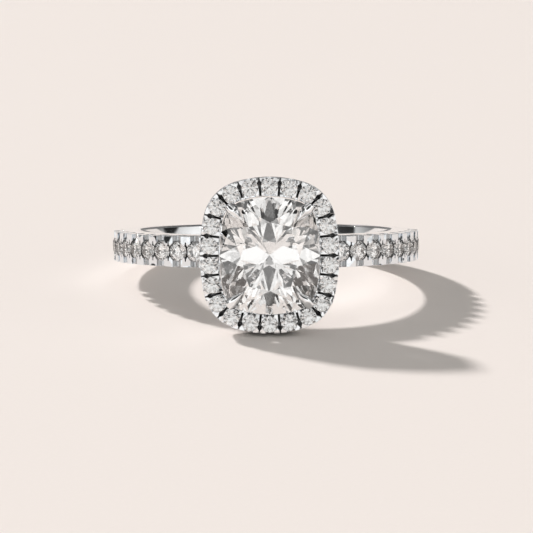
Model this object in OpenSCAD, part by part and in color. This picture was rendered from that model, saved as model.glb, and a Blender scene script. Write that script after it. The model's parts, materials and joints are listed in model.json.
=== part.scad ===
// Halo ring: a cushion-cut centre stone in four claws, inside a halo of round stones,
// on a band whose upper half is set with round stones on both sides.
// Modelled standing up, with the finger along Y and the centre stone towards +Z,
// about the centre of the finger hole. It is then laid down on its side, where it
// rests on the lower edge of the halo and the lower edge of the band behind.

/* [Band] */
// Inside diameter, the size of the finger hole
finger_d = 17.35; // [14:0.05:22]
// Radial thickness of the band
band_wall = 1.8; // [1.5:0.05:2.6]
// Width of the band along the finger
band_w = 2.1; // [1.8:0.05:3]
// Height of the upright sides, below the part that leans in
band_rail = 0.95; // [0.6:0.05:1.2]
// How far each side leans in at the outer face
band_lean = 0.07; // [0:0.01:0.2]
// Bevel along the two edges of the finger hole
hole_bevel = 0.12; // [0.05:0.01:0.3]

/* [Band stones] */
// Diameter of a band stone
band_stone_d = 1.28; // [0.9:0.02:1.4]
// Gap between two band stones along the outer face
band_stone_gap = 0.07; // [0.06:0.01:0.3]
// How far the first band stone's cell reaches in under the halo
band_tuck = 0.25; // [0:0.05:0.6]
// Angle from the centre stone at which the row of stones has to end
band_cover = 92; // [60:1:130]

/* [Centre stone] */
// Width across the finger
stone_w = 6.15; // [5:0.1:8]
// Length along the finger
stone_l = 7.2; // [5.4:0.1:9]
// Height of the crown above the girdle
stone_crown = 0.84; // [0.6:0.02:1.2]
// Thickness of the girdle where it is thinnest
stone_girdle = 0.06; // [0.03:0.01:0.2]
// Depth of the pavilion below the girdle
stone_pavilion = 3.1; // [2.2:0.02:3.6]
// Width of the table as a share of the stone's width
stone_table = 0.58; // [0.5:0.01:0.68]
// How far the pavilion facets are broken outwards below the girdle
stone_break = 0.12; // [0.02:0.01:0.16]
// Radius of the rounded corners
corner_r = 1.55; // [1:0.05:2]
// How far the long sides swell out beyond the corners
side_bulge = 0.2; // [0.1:0.02:0.4]
// How far the short sides swell out beyond the corners
end_bulge = 0.2; // [0.1:0.02:0.4]

/* [Halo] */
// Diameter of a halo stone
halo_stone_d = 1.04; // [0.8:0.02:1.4]
// Least gap between two halo stones
halo_stone_gap = 0.12; // [0.04:0.01:0.3]
// Gap between the centre stone's girdle and the halo
halo_inner_gap = 0.04; // [0.03:0.01:0.15]
// Metal left between a halo stone and the halo's inner edge
inner_lip = 0.1; // [0.03:0.01:0.2]
// Metal left between a halo stone and the halo's outer edge
outer_lip = 0.04; // [0.03:0.01:0.2]
// Width of the ledge round the outside, below the notches
halo_ledge = 0.03; // [0.02:0.01:0.12]
// Height of the halo's frame
halo_h = 1.25; // [1:0.05:2]
// Height of the centre stone's girdle above the halo's upper face
halo_drop = 0.16; // [0.06:0.02:0.4]

/* [Pave cutting] */
// Height of the prong pads above the small stones' girdles
pad_rise = 0.14; // [0.04:0.01:0.2]
// Width of a side notch as a share of its stone's diameter
notch_share = 0.5; // [0.45:0.01:0.8]
// Depth of a side notch below the girdle as a share of its stone's diameter
notch_depth_share = 0.42; // [0.35:0.01:0.5]
// How far the pads reach in over the edge of a small stone
pad_reach = 0.01; // [0:0.01:0.08]
// Width of the saw cut between two stones
saw_w = 0.14; // [0.06:0.01:0.18]
// Width of the saw cut out at the rim, past the drilled spots
rim_saw_w = 0.09; // [0.05:0.01:0.12]
// How far the saw cut bites into the seats of the two stones beside it
saw_bite = 0.01; // [0.005:0.005:0.03]
// Depth of the saw cut
saw_depth = 0.42; // [0.2:0.01:0.6]
// Width across the drilled spot between the two pads of a pair
spot_w = 0.3; // [0.2:0.01:0.32]
// Distance of a spot from the middle of the row as a share of the stone's diameter
spot_share = 0.24; // [0.2:0.01:0.32]

/* [Claws] */
// Radius of the four prong wires
prong_r = 0.28; // [0.25:0.01:0.4]
// Length of a claw, from the edge of the stone to its point
claw_reach = 1.1; // [0.8:0.02:1.3]
// Width of a claw where it is widest
claw_w = 0.72; // [0.56:0.02:0.8]
// Height of a claw above the stone where it is highest
claw_h = 0.34; // [0.2:0.01:0.4]
// Height of the centre stone's point above the band's outer face; below 0 it sinks into a dimple
culet_lift = -0.4; // [-0.6:0.01:1.5]

/* [Gallery] */
// Distance of the gallery rail in from the outline of the stone
rail_inset = 1.1; // [0.9:0.05:1.3]
// Width of the gallery rail
rail_w = 0.5; // [0.3:0.05:0.7]
// Height of the gallery rail
rail_h = 0.6; // [0.4:0.05:0.9]

/* [Fits] */
// Gap between a stone and the metal that holds it
seat_gap = 0.02; // [0.01:0.005:0.05]

/* [Hidden] */
$fn = 48;

// Shares of the diameter of a small round stone
small_table = 0.56;
small_crown = 0.15;
small_girdle = 0.04;
small_pavilion = 0.43;
small_break = 0.01;
// Shares of the way in, and of the way down, at which a stone's facets meet
star_share = 0.5;
lower_share = 0.74;
break_share = 0.4;
// Points round the girdle of the centre stone, a multiple of 16
cushion_points = 64;

// Outline of the centre stone: arcs for the sides, ends and corners, each tangent to the next
corner_x = stone_w / 2 - corner_r - side_bulge;
corner_y = stone_l / 2 - corner_r - end_bulge;
side_r = (pow(corner_r + side_bulge, 2) + pow(corner_y, 2) - pow(corner_r, 2)) / (2 * side_bulge);
end_r = (pow(corner_r + end_bulge, 2) + pow(corner_x, 2) - pow(corner_r, 2)) / (2 * end_bulge);
side_x = stone_w / 2 - side_r;
end_y = stone_l / 2 - end_r;
side_turn = atan2(corner_y, corner_x - side_x);
end_turn = atan2(corner_y - end_y, corner_x);

// Levels above the centre of the finger hole, and offsets from the stone's outline
hole_r = finger_d / 2;
band_r = hole_r + band_wall;
culet_z = band_r + culet_lift;
stone_half = half_girdle(cushion_girdle(0), stone_table, stone_crown, stone_girdle,
                         stone_pavilion, stone_break);
girdle_z = culet_z + stone_pavilion + stone_half;
halo_top_z = girdle_z - halo_drop;
halo_bottom_z = halo_top_z - halo_h;
halo_mid = halo_inner_gap + inner_lip + halo_stone_d / 2;
halo_edge = halo_mid + halo_stone_d / 2 + outer_lip;
halo_half_w = stone_w / 2 + halo_edge + halo_ledge;
halo_half_l = stone_l / 2 + halo_edge + halo_ledge;
halo_notch_z = halo_top_z - pad_rise - (small_girdle + notch_depth_share) * halo_stone_d;

// Halo stones: an even number, with one in the middle of each short side
halo_count = 2 * floor(outline_length(halo_mid) / (2 * (halo_stone_d + halo_stone_gap)));
halo_pitch = outline_length(halo_mid) / halo_count;
halo_stone_z = halo_top_z - pad_rise - small_girdle * halo_stone_d / 2;

// Band stones: equal cells from the halo's edge round to band_cover
band_stone_r = band_r - pad_rise - small_girdle * band_stone_d / 2;
band_cell = 2 * asin((band_stone_d + band_stone_gap) / (2 * band_stone_r));
band_start = asin((halo_half_w - band_tuck) / band_r);
band_count = floor((band_cover - band_start) / band_cell);

// Prongs: each stands in the gap between two halo stones that is nearest to the corner's middle
corner_s = side_length(halo_mid) + corner_length(halo_mid) / 2;
claw_gap = floor((quarter_length(halo_mid) - corner_s) / halo_pitch) + 0.5;
claw_place = outline_point(halo_mid, quarter_length(halo_mid) - claw_gap * halo_pitch);
claw_turn = claw_place[2];
claw_back = [claw_place[0], claw_place[1]] - halo_mid * [cos(claw_turn), sin(claw_turn)];
claw_slope = atan(stone_crown / ((1 - stone_table) * norm(claw_back)));
// Depth of a claw below the stone's slope, and how far a prong's joints stand proud of its wire
claw_root = 0.15;
joint_lip = 0.03;
// Bend of a prong: how far in from the claw and how far above the halo's lower face
knee_in = 0.25;
knee_up = 0.2;
// Foot of a prong: distance from the middle of the band and depth in its metal
foot_x = 1;
foot_sink = 0.35;
rail_z = (band_r + halo_bottom_z) / 2 - rail_h / 2;

// Tilt at rest: the level line that touches the halo's lower edge and the band's
halo_drop_to_band = [for (edge = [[hole_r + band_rail, band_w / 2], [band_r, band_w / 2 - band_lean]])
    (halo_half_l - edge[1]) / (halo_bottom_z + edge[0])];
rest_tilt = atan(min(halo_drop_to_band));

function side_length(d) = (side_r + d) * side_turn * PI / 180;
function corner_length(d) = (corner_r + d) * (end_turn - side_turn) * PI / 180;
function end_length(d) = (end_r + d) * (90 - end_turn) * PI / 180;
function quarter_length(d) = side_length(d) + corner_length(d) + end_length(d);
function outline_length(d) = 4 * quarter_length(d);

function arc_point(x, y, r, turn) = [x + r * cos(turn), y + r * sin(turn), turn];

// Point of the outline grown by d, and the direction it faces, at distance s along it from
// the middle of the +X side towards the middle of the +Y end
function quarter_point(d, s) =
    s <= side_length(d) ? arc_point(side_x, 0, side_r + d, s / (side_r + d) * 180 / PI)
    : s <= side_length(d) + corner_length(d)
        ? arc_point(corner_x, corner_y, corner_r + d,
                    side_turn + (s - side_length(d)) / (corner_r + d) * 180 / PI)
    : arc_point(0, end_y, end_r + d,
                90 - (quarter_length(d) - s) / (end_r + d) * 180 / PI);

// The same all the way round, by mirroring the quarter
function mirrored(p, x, y) = [x * p[0], y * p[1], x > 0 ? y * p[2] : 180 - y * p[2]];
function outline_point(d, s) =
    let (q = quarter_length(d), u = s - floor(s / (4 * q)) * 4 * q)
    u < q ? quarter_point(d, u)
    : u < 2 * q ? mirrored(quarter_point(d, 2 * q - u), -1, 1)
    : u < 3 * q ? mirrored(quarter_point(d, u - 2 * q), -1, -1)
    : mirrored(quarter_point(d, 4 * q - u), 1, -1);

// Girdle points of the centre stone grown by d: as many from each main facet to the next
function cushion_girdle(d) =
    let (q = quarter_length(d), c = side_length(d) + corner_length(d) / 2, n = cushion_points / 8)
    [for (k = [0:3]) for (i = [0:2 * n - 1])
        let (t = i < n ? c * i / n : c + (q - c) * (i - n) / n)
        outline_point(d, k % 2 == 0 ? k * q + t : k * q + (i < n ? (q - c) * i / n
                                                           : q - c + c * (i - n) / n))];

function round_girdle(r) = [for (i = [0:15]) [r * cos(i * 22.5), r * sin(i * 22.5), i * 22.5]];

// Where two upright planes at distances d1 and d2, facing t1 and t2, meet
function planes_meet(d1, t1, d2, t2) =
    [(d1 * sin(t2) - d2 * sin(t1)) / sin(t2 - t1), (d2 * cos(t1) - d1 * cos(t2)) / sin(t2 - t1)];

// Height at p of the plane through a, b and c
function height_on(a, b, c, p) =
    let (n = cross(b - a, c - a))
    a[2] - (n[0] * (p[0] - a[0]) + n[1] * (p[1] - a[1])) / n[2];

// The eight girdle points in the middle of a main facet, how far each of their planes lies out,
// and how far a crown plane leans in up to a table that is a share of the stone's width
function mains(girdle) = [for (k = [0:7]) girdle[k * len(girdle) / 8]];
function plane_reach(main) = [for (m = main) m[0] * cos(m[2]) + m[1] * sin(m[2])];
function crown_run(main, table) = [for (m = main) (1 - table) * norm([m[0], m[1]])];

// Points between neighbouring main facets, where their planes lean in by lean[k], at height z
function between_mains(main, lean, z) =
    let (far = plane_reach(main))
    [for (k = [0:7])
        let (m = (k + 1) % 8,
             p = planes_meet(far[k] - lean[k], main[k][2], far[m] - lean[m], main[m][2]))
        [p[0], p[1], z]];

// Rings of facet corners, with Z measured from the edge of the girdle that they rise or hang from
function table_ring(main, table, crown) =
    let (run = crown_run(main, table))
    [for (k = [0:7])
        [main[k][0] - run[k] * cos(main[k][2]), main[k][1] - run[k] * sin(main[k][2]), crown]];
function star_ring(main, table, crown) =
    between_mains(main, (1 - star_share) * crown_run(main, table), (1 - star_share) * crown);
function lower_ring(main, pavilion) =
    between_mains(main, lower_share * plane_reach(main), -lower_share * pavilion);
function break_ring(girdle, pavilion, bulge) =
    let (w = len(girdle) / 16, lower = lower_ring(mains(girdle), pavilion))
    [for (j = [0:15])
        let (a = girdle[j * w], b = girdle[((j + 1) % 16) * w], mid = ([a[0], a[1]] + [b[0], b[1]]) / 2)
        [mid[0], mid[1], 0] + break_share * (lower[floor(j / 2)] - [mid[0], mid[1], 0])
            + bulge * [mid[0], mid[1], 0] / norm(mid)];

// The edge of the girdle: level at sixteen points, and scalloped by the flat facets between
// them, each of which ends in one of the tips
function girdle_edge(girdle, tips) =
    let (w = len(girdle) / 16)
    [for (i = [0:len(girdle) - 1])
        let (j = floor(i / w), a = girdle[j * w], b = girdle[((j + 1) % 16) * w], p = girdle[i])
        [p[0], p[1], i % w == 0 ? 0 : height_on(tips[j], [a[0], a[1], 0], [b[0], b[1], 0], p)]];
function upper_edge(girdle, table, crown) =
    let (star = star_ring(mains(girdle), table, crown))
    girdle_edge(girdle, [for (j = [0:15]) star[floor(j / 2)]]);
function lower_edge(girdle, pavilion, bulge) = girdle_edge(girdle, break_ring(girdle, pavilion, bulge));

// Half the girdle's thickness at its level points, which leaves least between the scallops
function half_girdle(girdle, table, crown, least, pavilion, bulge) =
    let (upper = upper_edge(girdle, table, crown), lower = lower_edge(girdle, pavilion, bulge))
    (least + max([for (i = [0:len(girdle) - 1]) lower[i][2] - upper[i][2]])) / 2;

function raised(ring, z) = [for (p = ring) [p[0], p[1], p[2] + z]];

// A brilliant cut on any girdle, with the middle of the girdle at the origin.
// Eight flat main facets above and below meet at star points and lower points between them.
// The sixteen lower halves are broken outwards by bulge, each at a point below the girdle.
module brilliant(girdle, table, crown, half, pavilion, bulge) {
    n = len(girdle);
    w = n / 16;
    main = mains(girdle);
    // Numbers of the first point of each ring
    star = 8;
    up = 16;
    low = up + n;
    broken = low + n;
    deep = broken + 16;
    culet = deep + 8;
    polyhedron(
        points = concat(
            raised(table_ring(main, table, crown), half),
            raised(star_ring(main, table, crown), half),
            raised(upper_edge(girdle, table, crown), half),
            raised(lower_edge(girdle, pavilion, bulge), -half),
            raised(break_ring(girdle, pavilion, bulge), -half),
            raised(lower_ring(main, pavilion), -half),
            [[0, 0, -half - pavilion]]),
        faces = concat(
            [[for (k = [7:-1:0]) k]],
            [for (k = [0:7]) [k, (k + 1) % 8, star + k]],
            [for (k = [0:7]) [k, star + k, up + 2 * k * w, star + (k + 7) % 8]],
            [for (i = [0:n - 1]) [star + floor(i / w / 2), up + (i + 1) % n, up + i]],
            [for (i = [0:n - 1]) [up + i, up + (i + 1) % n, low + (i + 1) % n, low + i]],
            [for (i = [0:n - 1]) [broken + floor(i / w), low + i, low + (i + 1) % n]],
            [for (j = [0:15]) [deep + floor(j / 2), low + j * w, broken + j]],
            [for (j = [0:15]) [deep + floor(j / 2), broken + j, low + (j + 1) % 16 * w]],
            [for (k = [0:7]) [culet, deep + (k + 7) % 8, low + 2 * k * w, deep + k]]));
}

module cushion_brilliant(d) {
    brilliant(cushion_girdle(d), stone_table, stone_crown + d, stone_half + d,
              stone_pavilion + d, stone_break);
}

module round_brilliant(d) {
    brilliant(round_girdle(d / 2), small_table, small_crown * d, small_girdle * d / 2,
              small_pavilion * d, small_break * d);
}

// Radius of the opening that the pads leave over a small stone
function opening_r(d) = d / 2 - pad_reach;

// The space a small round stone takes in the metal: turned, so it clears the corners where
// the main facets meet, with the seat gap all over. Above, it is open but for the pads' reach.
module round_seat(d) {
    r = d / 2;
    half = small_girdle * r;
    out = 1 / cos(22.5);
    star = [r * (1 - (1 - star_share) * (1 - small_table)) * out, half + (1 - star_share) * small_crown * d];
    crown_steepness = (star[1] - half) / (r - star[0]);
    outline = [
        [r * (1 - lower_share) * out, -half - lower_share * small_pavilion * d],
        [r * (1 - break_share * lower_share) + small_break * d,
         -half - break_share * lower_share * small_pavilion * d],
        [r, -half],
        [r, half]];
    open_r = opening_r(d);
    rotate_extrude()
        polygon(concat([[0, -half - small_pavilion * d - seat_gap]],
                       [for (p = outline) [p[0] + seat_gap, p[1]]],
                       [[open_r, half + (seat_gap + pad_reach) * crown_steepness], [open_r, d], [0, d]]));
}

// A U-shaped notch along X, open upwards, through a wall from -reach to reach
module notch(d, reach) {
    r = notch_share * d / 2;
    floor_z = -(small_girdle / 2 + notch_depth_share) * d;
    rotate([90, 0, 90])
        linear_extrude(2 * reach, center = true) {
            translate([0, floor_z + r])
                circle(r);
            translate([-r, floor_z + r])
                square([2 * r, d]);
        }
}

// A saw cut along X, down from the pads, from ends[0] to ends[1] with the widths there.
// In the middle of the row it is as wide as what is left between the two stones' openings, and
// from there it widens to a drilled spot at each distance in the list.
module saw_cut(ends, widths, spots, pitch, d) {
    r = spot_w / 2;
    middle = max(saw_w / 2, pitch / 2 - opening_r(d) + saw_bite);
    edge = concat(
        [[ends[0], widths[0] / 2]],
        [for (s = spots) if (s < 0) each [[s - r, widths[0] / 2], [s, r]]],
        [if (min(spots) > 0) [-r, widths[0] / 2]],
        [[0, middle]],
        [for (s = spots) if (s > 0) each [[s, r], [s + r, widths[1] / 2]]],
        [[ends[1], widths[1] / 2]]);
    translate([0, 0, -saw_depth])
        linear_extrude(2 * saw_depth)
            polygon(concat(edge, [for (i = [len(edge) - 1:-1:0]) [edge[i][0], -edge[i][1]]]));
}

// A round bar from p to q
module rod(p, q, r) {
    v = q - p;
    translate(p)
        rotate([0, acos(v[2] / norm(v)), atan2(v[1], v[0])])
            cylinder(h = norm(v), r = r);
}

// The stone's outline grown by d: the crossing of four large discs, less what lies past
// the corner arcs between the two rays on which they join the sides and ends
module cushion_face(d) {
    reach = stone_l + 2 * d;
    difference() {
        intersection() {
            translate([side_x, 0])
                circle(side_r + d);
            translate([-side_x, 0])
                circle(side_r + d);
            translate([0, end_y])
                circle(end_r + d);
            translate([0, -end_y])
                circle(end_r + d);
        }
        for (x = [0, 1], y = [0, 1])
            mirror([x, 0])
                mirror([0, y])
                    translate([corner_x, corner_y])
                        difference() {
                            polygon([[0, 0], reach * [cos(side_turn), sin(side_turn)],
                                     reach * [1, 1], reach * [cos(end_turn), sin(end_turn)]]);
                            circle(corner_r + d);
                        }
    }
}

module cushion_ring(inner, outer, h) {
    linear_extrude(h)
        difference() {
            cushion_face(outer);
            cushion_face(inner);
        }
}

// Places its children at every halo stone, shifted by a share of a cell
module at_halo(shift) {
    for (i = [0:halo_count - 1])
        at_halo_cell(i + shift)
            children();
}

module at_halo_cell(i) {
    p = outline_point(halo_mid, quarter_length(halo_mid) - i * halo_pitch);
    translate([p[0], p[1], halo_stone_z])
        rotate(p[2])
            children();
}

// Places its children at a band stone: side is 1 for +X and -1 for -X
module at_band_cell(side, i) {
    rotate([0, side * (band_start + (i + 0.5) * band_cell), 0])
        translate([0, 0, band_stone_r])
            rotate(90)
                children();
}

module band_blank() {
    rotate([90, 0, 0])
        rotate_extrude($fn = 96)
            polygon([[hole_r, -band_w / 2 + hole_bevel], [hole_r + hole_bevel, -band_w / 2],
                     [hole_r + band_rail, -band_w / 2], [band_r, -band_w / 2 + band_lean],
                     [band_r, band_w / 2 - band_lean], [hole_r + band_rail, band_w / 2],
                     [hole_r + hole_bevel, band_w / 2], [hole_r, band_w / 2 - hole_bevel]]);
}

module halo_blank() {
    translate([0, 0, halo_bottom_z])
        cushion_ring(halo_inner_gap, halo_edge + halo_ledge, halo_notch_z - halo_bottom_z);
    translate([0, 0, halo_bottom_z])
        cushion_ring(halo_inner_gap, halo_edge, halo_h);
}

// Share along a claw, and the shares of its width, height and root there
claw_sections = [
    [-0.26, 0.2, 0.16, 0],
    [-0.2, 0.6, 0.58, 0],
    [-0.1, 0.86, 0.88, 0],
    [0.03, 0.98, 0.94, 1],
    [0.2, 1, 1, 1],
    [0.42, 0.84, 0.9, 1],
    [0.65, 0.56, 0.68, 1],
    [0.86, 0.27, 0.4, 1],
    [1, 0.08, 0.16, 1]];
claw_turns = [0:22.5:180];

// A rounded claw in the shape of a drop, along X over the edge of the stone at the origin and
// up its slope to a point
module claw() {
    run = claw_reach / cos(claw_slope);
    rounds = [for (a = claw_turns) [cos(a), sin(a)]];
    n = len(claw_sections);
    m = len(rounds) + 2;
    points = [for (s = claw_sections)
        let (x = s[0] * run, w = s[1] * claw_w / 2, root = -s[3] * claw_root)
        each concat([[x, -w, root - joint_lip], [x, w, root - joint_lip]],
                    [for (p = rounds) [x, w * p[0], s[2] * claw_h * p[1]]])];
    polyhedron(
        points = points,
        faces = concat(
            [[for (k = [0:m - 1]) k], [for (k = [m - 1:-1:0]) m * (n - 1) + k]],
            [for (i = [0:n - 2]) for (k = [0:m - 1])
                let (a = m * i + k, b = m * i + (k + 1) % m)
                each [[a, a + m, b + m], [a, b + m, b]]]));
}

module prong() {
    inward = -[cos(claw_turn), sin(claw_turn), 0];
    top = [claw_back[0], claw_back[1], girdle_z + stone_half];
    knee = [top[0], top[1], halo_bottom_z + knee_up] + knee_in * inward;
    foot = [foot_x, band_w / 2 - prong_r, band_r - foot_sink];
    rod(foot, knee, prong_r);
    rod(knee, top, prong_r);
    for (joint = [knee, top])
        translate(joint)
            sphere(prong_r + joint_lip);
    translate(top)
        rotate([0, -claw_slope, claw_turn + 180])
            claw();
}

module prongs() {
    for (x = [0, 1], y = [0, 1])
        mirror([x, 0, 0])
            mirror([0, y, 0])
                prong();
}

module gallery_rail() {
    translate([0, 0, rail_z])
        cushion_ring(-rail_inset - rail_w / 2, -rail_inset + rail_w / 2, rail_h);
}

module halo_cuts() {
    reach = 2 * halo_mid;
    at_halo(0)
        notch(halo_stone_d, reach);
    at_halo(0.5)
        translate([0, 0, halo_top_z - halo_stone_z])
            saw_cut([-reach, reach], [saw_w, rim_saw_w], [spot_share * halo_stone_d],
                    halo_pitch, halo_stone_d);
}

module band_cuts() {
    spot = spot_share * band_stone_d;
    end = spot + spot_w;
    for (side = [-1, 1]) {
        for (i = [0:band_count - 1])
            at_band_cell(side, i) {
                round_seat(band_stone_d);
                notch(band_stone_d, band_w);
            }
        for (i = [0:band_count])
            at_band_cell(side, i - 0.5)
                translate([0, 0, band_r - band_stone_r])
                    saw_cut([-end, end], [rim_saw_w, rim_saw_w], [-spot, spot],
                            2 * band_r * tan(band_cell / 2), band_stone_d);
    }
}

// All the metal: band, prongs, gallery rail and halo frame are soldered into one
module mounting() {
    color("silver")
        difference() {
            union() {
                difference() {
                    band_blank();
                    band_cuts();
                }
                difference() {
                    halo_blank();
                    halo_cuts();
                }
                prongs();
                gallery_rail();
            }
            at_halo(0)
                round_seat(halo_stone_d);
            translate([0, 0, girdle_z])
                cushion_brilliant(seat_gap);
        }
}

module centre_stone() {
    color("white")
        translate([0, 0, girdle_z])
            cushion_brilliant(0);
}

module halo_stone(i) {
    color("whitesmoke")
        at_halo_cell(i)
            round_brilliant(halo_stone_d);
}

module band_stone(side, i) {
    color("whitesmoke")
        at_band_cell(side, i)
            round_brilliant(band_stone_d);
}

// Lays the ring on its side, the centre stone towards -Y and tipped up by rest_tilt
module lying() {
    rotate([90 - rest_tilt, 0, 0])
        children();
}

lying() mounting();
lying() centre_stone();
for (i = [1:halo_count])
    lying() halo_stone(i - 1);
for (i = [1:band_count]) {
    lying() band_stone(-1, i - 1);
    lying() band_stone(1, i - 1);
}
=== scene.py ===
"""Halo ring: a cushion-cut centre stone in a halo of small stones, lying on a pale table."""
import json
import math

import bpy
from mathutils import Matrix, Vector


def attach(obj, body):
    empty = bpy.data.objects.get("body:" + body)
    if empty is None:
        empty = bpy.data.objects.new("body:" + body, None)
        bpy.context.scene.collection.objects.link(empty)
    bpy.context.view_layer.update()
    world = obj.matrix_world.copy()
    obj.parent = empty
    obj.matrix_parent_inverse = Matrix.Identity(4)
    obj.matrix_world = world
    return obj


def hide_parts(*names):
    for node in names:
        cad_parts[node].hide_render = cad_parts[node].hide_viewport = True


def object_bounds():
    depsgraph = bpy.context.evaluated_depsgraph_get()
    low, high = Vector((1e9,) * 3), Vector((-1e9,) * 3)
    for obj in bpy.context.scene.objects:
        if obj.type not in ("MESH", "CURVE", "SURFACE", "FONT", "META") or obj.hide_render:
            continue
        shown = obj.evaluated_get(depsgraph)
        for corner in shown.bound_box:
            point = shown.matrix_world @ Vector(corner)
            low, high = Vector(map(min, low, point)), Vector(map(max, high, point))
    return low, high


MM = 0.001

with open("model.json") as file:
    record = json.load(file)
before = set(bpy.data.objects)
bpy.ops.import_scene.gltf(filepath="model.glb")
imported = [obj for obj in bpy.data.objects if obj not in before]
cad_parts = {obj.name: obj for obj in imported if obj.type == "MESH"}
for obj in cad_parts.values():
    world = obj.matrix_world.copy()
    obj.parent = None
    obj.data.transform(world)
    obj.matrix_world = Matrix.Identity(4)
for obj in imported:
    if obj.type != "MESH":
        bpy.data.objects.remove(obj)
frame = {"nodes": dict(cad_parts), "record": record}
nodes = frame["nodes"]
cad_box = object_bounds()
scene = bpy.context.scene

# The ring lies tilted: the way its finger hole and its head face
finger_hole = frame["record"]["mounts"][0]
finger_way = tuple(finger_hole["axis"])
tilt = math.asin(finger_way[1])
head_way = (0, -math.cos(tilt), math.sin(tilt))

# Sizes that the metal's finishes follow, from the finger hole's middle or axis
hole_r = finger_hole["dims"]["r_mm"] * MM
band_r = hole_r + 1.8 * MM
band_half_w = 1.05 * MM
notch_floor_r = 9.78 * MM
halo_underside = 10.8 * MM
pads_height = 12.9 * MM
# Half width and half length, across and along the finger
halo_half = (4.33 * MM, 4.85 * MM)
claws_half = (3.1 * MM, 3.63 * MM)
# Where the row of halo stones runs, as a share of the halo's half sizes
stone_row_share = 0.865


# Shader writing
class Wire:
    """A socket of a node tree that can be used in sums, products and comparisons."""

    def __init__(self, tree, socket):
        self.tree, self.socket = tree, socket

    def _math(self, operation, first, second):
        return self.tree.add("ShaderNodeMath", {"operation": operation}, {0: first, 1: second})

    def __add__(self, other):
        return self._math("ADD", self, other)

    def __radd__(self, other):
        return self._math("ADD", other, self)

    def __sub__(self, other):
        return self._math("SUBTRACT", self, other)

    def __rsub__(self, other):
        return self._math("SUBTRACT", other, self)

    def __mul__(self, other):
        return self._math("MULTIPLY", self, other)

    def __rmul__(self, other):
        return self._math("MULTIPLY", other, self)

    def __truediv__(self, other):
        return self._math("DIVIDE", self, other)

    def __pow__(self, other):
        return self._math("POWER", self, other)

    def __gt__(self, other):
        return self._math("GREATER_THAN", self, other)

    def __lt__(self, other):
        return self._math("LESS_THAN", self, other)


class Tree:
    """The nodes of one material or of the world."""

    def __init__(self, owner):
        owner.use_nodes = True
        self.nodes, self.links = owner.node_tree.nodes, owner.node_tree.links
        self.nodes.clear()

    def add(self, kind, settings=None, values=None, out=0):
        """Adds a node, sets its settings, then its sockets, and returns one of its outputs."""
        node = self.nodes.new(kind)
        for name, value in (settings or {}).items():
            setattr(node, name, value)
        for name, value in (values or {}).items():
            if isinstance(value, Wire):
                self.links.new(value.socket, node.inputs[name])
            else:
                node.inputs[name].default_value = value
        return Wire(self, node.outputs[out]) if len(node.outputs) else node

    def place(self):
        """The place on the object, in metres."""
        return self.add("ShaderNodeTexCoord", out=3)

    def reach(self, vector, way):
        """How far a vector reaches in a way of length 1."""
        return self.add("ShaderNodeVectorMath", {"operation": "DOT_PRODUCT"}, {0: vector, 1: way}, out=1)

    def noise(self, vector, scale, detail):
        return self.add("ShaderNodeTexNoise", None, {"Vector": vector, "Scale": scale, "Detail": detail})

    def rise(self, value, low, high, at_low=0.0, at_high=1.0):
        """A straight run from at_low, where the value is low, to at_high, where it is high."""
        return self.add("ShaderNodeMapRange", None, {
            "Value": value, "From Min": low, "From Max": high, "To Min": at_low, "To Max": at_high})

    def soft_rise(self, value, low, high):
        """The same from 0 to 1, eased at both ends."""
        return self.add("ShaderNodeMapRange", {"interpolation_type": "SMOOTHSTEP"}, {
            "Value": value, "From Min": low, "From Max": high, "To Min": 0.0, "To Max": 1.0})

    def mix(self, factor, first, second):
        """A colour between two."""
        return self.add("ShaderNodeMix", {"data_type": "RGBA"},
                        {"Factor": factor, 6: first, 7: second}, out=2)

    def bump(self, height, strength, distance, normal):
        return self.add("ShaderNodeBump", None, {
            "Height": height, "Strength": strength, "Distance": distance, "Normal": normal})

    def cover(self, **values):
        """The finish of the whole surface."""
        shader = self.add("ShaderNodeBsdfPrincipled", None,
                          {name.replace("_", " "): value for name, value in values.items()})
        self.add("ShaderNodeOutputMaterial", None, {"Surface": shader})


# Materials
def cushion_share(across, along, half):
    """How far out a place lies on a cushion outline: 0 in its middle and 1 on the outline."""
    return ((across / half[0]) ** 4 + (along / half[1]) ** 4) ** 0.25


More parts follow.
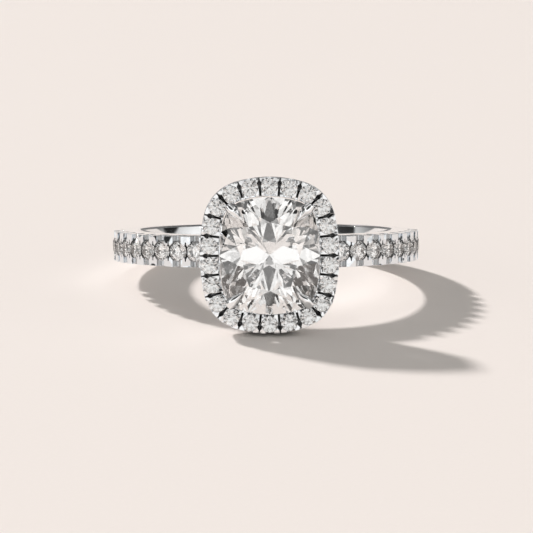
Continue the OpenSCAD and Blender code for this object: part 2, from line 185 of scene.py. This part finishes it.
def white_gold():
    """Polished rhodium-plated metal: bright faces with fine polishing lines, duller recesses darkened
    with painted shade.
    """
    material = bpy.data.materials.new("polished_white_gold")
    t = Tree(material)
    place = t.place()
    across = t.add("ShaderNodeSeparateXYZ", None, {"Vector": place})
    along = t.reach(place, finger_way)
    up = t.reach(place, head_way)
    from_axis = t.add("ShaderNodeVectorMath", {"operation": "CROSS_PRODUCT"}, {0: place, 1: finger_way})
    out = t.add("ShaderNodeVectorMath", {"operation": "LENGTH"}, {0: from_axis}, out=1)

    # Parts of the ring: the band with its posts and notches, the halo's pads, the claws
    on_band = up < halo_underside
    set_part = t.rise(up, -1.0 * MM, 0.0)
    posts = set_part * (out > band_r - 0.095 * MM) * (out < band_r + 0.125 * MM)
    # The floors of the notches, which get painted grey shade
    notch_floor_shade = (set_part * t.soft_rise(out, notch_floor_r + 0.18 * MM, notch_floor_r + 0.02 * MM)
                    * (out > notch_floor_r - 0.18 * MM)
                    * (along * along < (band_half_w - 0.015 * MM) ** 2) * on_band)
    pads = t.rise(up, pads_height, pads_height + 0.1 * MM)
    claws = (cushion_share(across, along, claws_half) < 1) * (up > halo_underside)

    # Recesses, found by ambient occlusion, are made duller and get painted shade: near black, dark grey
    # on the band. Claws and prongs, inside the halo, are polished all over and get none, and the floors
    # of the notches, which the polishing wheel hardly reaches, are painted greyer as shade.
    open_air = t.add("ShaderNodeAmbientOcclusion", {"samples": 12}, {"Distance": 0.35 * MM}, out=1)
    dull_and_shaded_recess = t.soft_rise(open_air, 0.68, 0.42) * (1 - claws)
    cloud = t.noise(place, 700.0, 3.0)
    clean = t.mix(cloud, (0.87, 0.888, 0.905, 1), (0.94, 0.957, 0.975, 1))
    # Notch floors painted grey as shade; the posts keep their own cooler tone
    bright = t.mix(notch_floor_shade, t.mix(posts, clean, (0.86, 0.895, 0.93, 1)), (0.4, 0.4, 0.4, 1))
    # Painted shade colour for the recesses: near black off the band, dark grey on it
    painted_shade_colour = t.mix(on_band, (0.01, 0.01, 0.01, 1), (0.22, 0.22, 0.22, 1))

    # The pads and posts are filed and polished by hand, so each leans its own way, and on the
    # halo they are rounded over, outwards and inwards from the row of stones
    soft_edge = t.add("ShaderNodeBevel", {"samples": 4}, {"Radius": 0.04 * MM})
    hand = t.noise(place, 1700.0, 0.0)
    from_row = cushion_share(across, along, halo_half) - stone_row_share
    filed = t.bump(hand * (0.08 * pads + 0.13 * posts) - 1.7 * from_row * from_row * pads,
                   1.0, MM, soft_edge)
    # The finger hole's wall is polished with a slight dome
    side = along / MM
    domed = t.bump(1 - 0.75 * side * side * (out < hole_r + 0.045 * MM), 1.0, 0.1 * MM, filed)
    # Polishing lines run round the finger
    stretched = t.add("ShaderNodeMapping", None, {"Vector": place, "Scale": (900, 900, 9000)})
    lines = t.add("ShaderNodeTexNoise", None,
                  {"Vector": stretched, "Scale": 1.0, "Detail": 4.0, "Roughness": 0.6})
    t.cover(Base_Color=t.mix(dull_and_shaded_recess, bright, painted_shade_colour), Metallic=1.0,
            Roughness=0.05 + 0.05 * cloud + 0.35 * dull_and_shaded_recess,
            Normal=t.bump(lines, 0.04, 0.004 * MM, domed))
    return material


def brilliant_stone(name, tint):
    """A colourless cut stone: flat polished facets that bend the light."""
    material = bpy.data.materials.new(name)
    t = Tree(material)
    cloud = t.noise(t.place(), 1500.0, 2.0)
    t.cover(Base_Color=t.mix(0.2 * cloud, tint, (1, 1, 1, 1)), Roughness=0.002 + 0.006 * cloud,
            IOR=2.417, Transmission_Weight=1.0)
    return material


def table_paper():
    """A pale warm matt table with the faintest tooth."""
    material = bpy.data.materials.new("pale_table")
    t = Tree(material)
    tooth = t.noise(t.place(), 4000.0, 3.0)
    t.cover(Base_Color=t.mix(tooth, (0.865, 0.815, 0.775, 1), (0.885, 0.835, 0.795, 1)),
            Roughness=0.9, Specular_IOR_Level=0.1)
    return material


# Pieces
def deselect_all():
    for thing in bpy.context.selected_objects:
        thing.select_set(False)


def merged_copy(node, name):
    """A copy of a CAD node with its loose triangles joined and its curved faces shaded smooth."""
    piece = bpy.data.objects.new(name, nodes[node].data.copy())
    scene.collection.objects.link(piece)
    deselect_all()
    piece.select_set(True)
    bpy.context.view_layer.objects.active = piece
    bpy.ops.object.mode_set(mode="EDIT")
    bpy.ops.mesh.select_all(action="SELECT")
    bpy.ops.mesh.remove_doubles(threshold=0.001 * MM)
    bpy.ops.object.mode_set(mode="OBJECT")
    bpy.ops.mesh.customdata_custom_splitnormals_clear()
    bpy.ops.object.shade_smooth_by_angle(angle=math.radians(22))
    piece.select_set(False)
    return piece


def give(thing, material):
    thing.data.materials.clear()
    thing.data.materials.append(material)


metal = merged_copy("mounting", "polished_mounting")
give(metal, white_gold())
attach(metal, "root")
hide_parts("mounting")

stone_materials = {
    "centre_stone": brilliant_stone("centre_stone_facets", (0.975, 0.98, 0.985, 1)),
    "halo_stone": brilliant_stone("small_stone_facets", (0.86, 0.87, 0.875, 1)),
    "band_stone": brilliant_stone("band_stone_facets", (0.97, 0.975, 0.98, 1)),
}
for name, node in nodes.items():
    for kind, material in stone_materials.items():
        if name.startswith(kind):
            give(node, material)


# Table, light and camera
def lay_table():
    deselect_all()
    bpy.ops.mesh.primitive_plane_add(size=4.0, location=(0, 0, cad_box[0][2]))
    table = bpy.context.active_object
    table.name = "table"
    bpy.ops.object.transform_apply(location=True, rotation=True, scale=True)
    give(table, table_paper())


def key_light():
    """A warm key light from behind on the left, which throws the long shadows to the front right."""
    lamp = bpy.data.lights.new("key", "SUN")
    lamp.energy = 3.12
    lamp.angle = math.radians(5)
    lamp.color = (1.0, 0.955, 0.945)
    key = bpy.data.objects.new("key", lamp)
    scene.collection.objects.link(key)
    key.rotation_euler = Vector((-1.0, 0.95, 1.0)).to_track_quat("Z", "Y").to_euler()


# Directions in the studio, with the angles up to which a patch is full and at which it ends
upper_claws_mirror = [(-0.55, -0.5, 0.67), (0.58, -0.5, 0.67)]
dark_zones = [
    # The dark side of the room by the camera, broken up for the stone's facets
    ((-0.02, -1, 0.23), 2.5, 4),
    ((0.22, -1, 0.06), 4, 7),
    ((-0.25, -1, 0.25), 3, 5),
    ((0.14, -1, 0.34), 3, 5),
    ((-0.1, -1, 0.0), 2, 4),
    ((0.0, -1, 0.75), 7, 10),
    # A dark streak for the upper claws
    (upper_claws_mirror[0], 17, 21),
    (upper_claws_mirror[1], 17, 21),
    # Dark wedges for the finger hole's wall
    ((-1, -0.1, 0.15), 9, 13),
    ((1, 0.25, 0.2), 10, 14),
]
light_boxes = [
    # Each upper claw's streak has a bright rim, and the third box hangs over the ring
    (upper_claws_mirror[0], 28, 33, 0.55),
    (upper_claws_mirror[1], 28, 33, 0.55),
    ((-0.2, 0.35, 1), 14, 20, 0.5),
]


def studio():
    """Soft light from all round: paler sides, a dim ceiling and back, dark zones and light boxes."""
    world = bpy.data.worlds.new("studio")
    scene.world = world
    t = Tree(world)
    way = t.add("ShaderNodeTexCoord")
    back, ceiling = [t.add("ShaderNodeSeparateXYZ", None, {"Vector": way}, out=i) for i in (1, 2)]

    def patch(direction, inner, outer):
        """1 within inner degrees of a direction, falling to 0 at outer degrees."""
        near = t.reach(way, tuple(Vector(direction).normalized()))
        return t.soft_rise(near, math.cos(math.radians(outer)), math.cos(math.radians(inner)))

    dark = sum(patch(*zone) for zone in dark_zones)
    boxes = sum(power * patch(*box) for *box, power in light_boxes)
    even = t.rise(ceiling, 0.1, 0.9, 0.95, 0.3) * t.rise(back, -0.3, 0.5, 1.0, 0.2)
    lit = 1 - 0.96 * t.add("ShaderNodeClamp", None, {"Value": dark})
    background = t.add("ShaderNodeBackground", None,
                       {"Color": (1, 0.985, 0.965, 1), "Strength": 1.12 * (even + boxes) * lit})
    t.add("ShaderNodeOutputWorld", None, {"Surface": background})


def photo_camera():
    """The photograph's view, worked out from the ring's outline in it. Its own angles, in radians,
    are measured from the ring's plane, which lies tilted on the table."""
    away, rise, turn, roll = 120 * MM, 0.05385, -0.01687, -0.00261
    focal_px, photo_px, film_mm = 1736.6, 533, 36
    eye = away * Vector((math.sin(turn) * math.cos(rise), -math.cos(turn) * math.cos(rise),
                         math.sin(rise)))
    aim = Vector((0.0296, 0, -1.5475)) * MM
    look = (aim - eye).normalized()
    right = look.cross(Vector((0, 0, 1))).normalized()
    up = right.cross(look)
    across = right * math.cos(roll) + up * math.sin(roll)
    upward = up * math.cos(roll) - right * math.sin(roll)
    pose = Matrix([across, upward, -look]).transposed().to_4x4()
    pose.translation = eye
    lens = bpy.data.cameras.new("camera")
    lens.sensor_width = film_mm
    lens.lens = film_mm * focal_px / photo_px
    lens.clip_start, lens.clip_end = 0.001, 20
    camera = bpy.data.objects.new("camera", lens)
    scene.collection.objects.link(camera)
    camera.matrix_world = Matrix.Rotation(-tilt, 4, "X") @ pose
    scene.camera = camera


lay_table()
key_light()
studio()
photo_camera()
scene.view_settings.view_transform = "Standard"
scene.cycles.max_bounces = 24
scene.cycles.transmission_bounces = 20
scene.cycles.glossy_bounces = 6
scene.cycles.use_denoising = True

bpy.context.view_layer.update()
